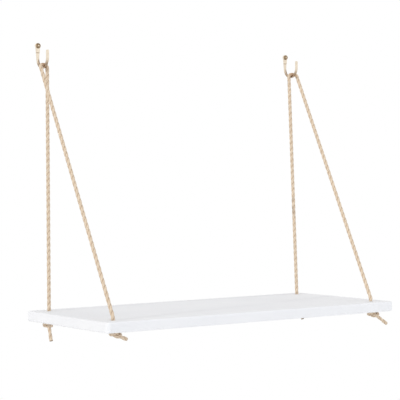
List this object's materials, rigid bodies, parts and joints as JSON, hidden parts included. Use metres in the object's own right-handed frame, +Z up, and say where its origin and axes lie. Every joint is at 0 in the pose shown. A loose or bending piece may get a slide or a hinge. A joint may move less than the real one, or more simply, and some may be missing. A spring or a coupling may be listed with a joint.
{
  "type": "hanging rope shelf",
  "caption": "Wall shelf: a white rectangular board hung near its corners on knotted ropes, each laid over a bent brass hook that is screwed to the wall.",
  "frame": {"origin": "point on the wall midway between the two hook screws, at the height of the screws", "axes": "+X along the wall to the right seen from the room, +Y into the wall, +Z up"},
  "size_m": [0.6132, 0.3121, 0.5294],
  "materials": {
    "white_paint": "satin white paint on solid board",
    "rope": "natural three-strand twisted cord, matt and slightly hairy",
    "polished_brass": "pale polished brass",
    "aged_brass": "darker bronzed brass"
  },
  "bodies": {
    "wall_hooks": {"left_hook": "polished_brass", "left_hook_screw": "aged_brass", "right_hook": "polished_brass", "right_hook_screw": "aged_brass"},
    "rope_saddles": {"left_rope_saddle": "rope", "right_rope_saddle": "rope"},
    "left_ropes": {"left_front_run": "rope", "left_back_run": "rope"},
    "right_ropes": {"right_front_run": "rope", "right_back_run": "rope"},
    "board_and_knots": {"shelf_board": "white_paint", "left_front_knot": "rope", "left_back_knot": "rope", "right_front_knot": "rope", "right_back_knot": "rope"}
  },
  "joints": [
    {"name": "swing_out", "type": "hinge", "parent": "wall_hooks", "child": "rope_saddles", "pos_m": [0, -0.0201, -0.0219], "axis": [-1, 0, 0], "range_deg": [0, 25]},
    {"name": "left_sway", "type": "hinge", "parent": "rope_saddles", "child": "left_ropes", "pos_m": [-0.276, -0.0248, -0.04], "axis": [0, 1, 0], "range_deg": [-15, 15]},
    {"name": "right_sway", "type": "hinge", "parent": "rope_saddles", "child": "right_ropes", "pos_m": [0.276, -0.0248, -0.04], "axis": [0, 1, 0], "range_deg": [-15, 15]},
    {"name": "board_level", "type": "hinge", "parent": "left_ropes", "child": "board_and_knots", "pos_m": [-0.276, -0.143, -0.4674], "axis": [0, 1, 0], "range_deg": [-15, 15]}
  ],
  "couplings": [
    {"joint": "right_sway", "follows": "left_sway", "ratio": 1},
    {"joint": "board_level", "follows": "left_sway", "ratio": -1}
  ]
}
